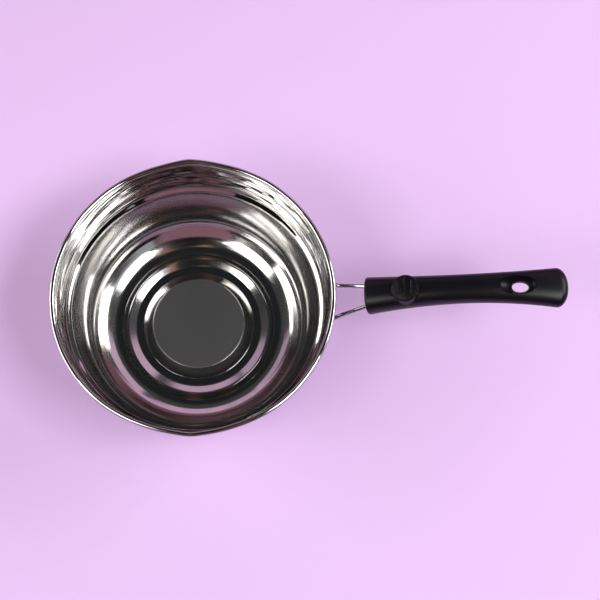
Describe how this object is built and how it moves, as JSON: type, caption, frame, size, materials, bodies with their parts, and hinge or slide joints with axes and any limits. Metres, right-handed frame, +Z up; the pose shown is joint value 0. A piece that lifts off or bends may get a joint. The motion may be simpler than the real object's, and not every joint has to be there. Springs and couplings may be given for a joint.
{
  "type": "candle melting pot",
  "caption": "Small polished steel melting pot with a rolled rim, pouring lips, a stepped bottom, a bent wire bracket and a black moulded handle with a hanging hole.",
  "frame": {"origin": "on the surface the pot stands on, under the middle of the overall length and width; the bowl's own axis is at x = -65.25 mm", "axes": "+X along the handle away from the bowl, +Y towards one pouring lip, +Z up"},
  "size_m": [0.2945, 0.1657, 0.0914],
  "materials": {
    "polished_steel": "mirror-polished stainless steel with faint turning lines",
    "steel_wire": "bright drawn stainless wire",
    "black_resin": "satin black moulded resin",
    "black_cap": "satin black moulded resin with grooves",
    "plated_steel": "zinc-plated steel fasteners"
  },
  "bodies": {
    "root": {"pot_bowl": "polished_steel", "wire_bracket": "steel_wire", "handle_grip": "black_resin", "thumb_button": "black_cap", "clamp_screw": "plated_steel", "clamp_washer": "plated_steel", "clamp_nut": "plated_steel"}
  },
  "joints": []
}
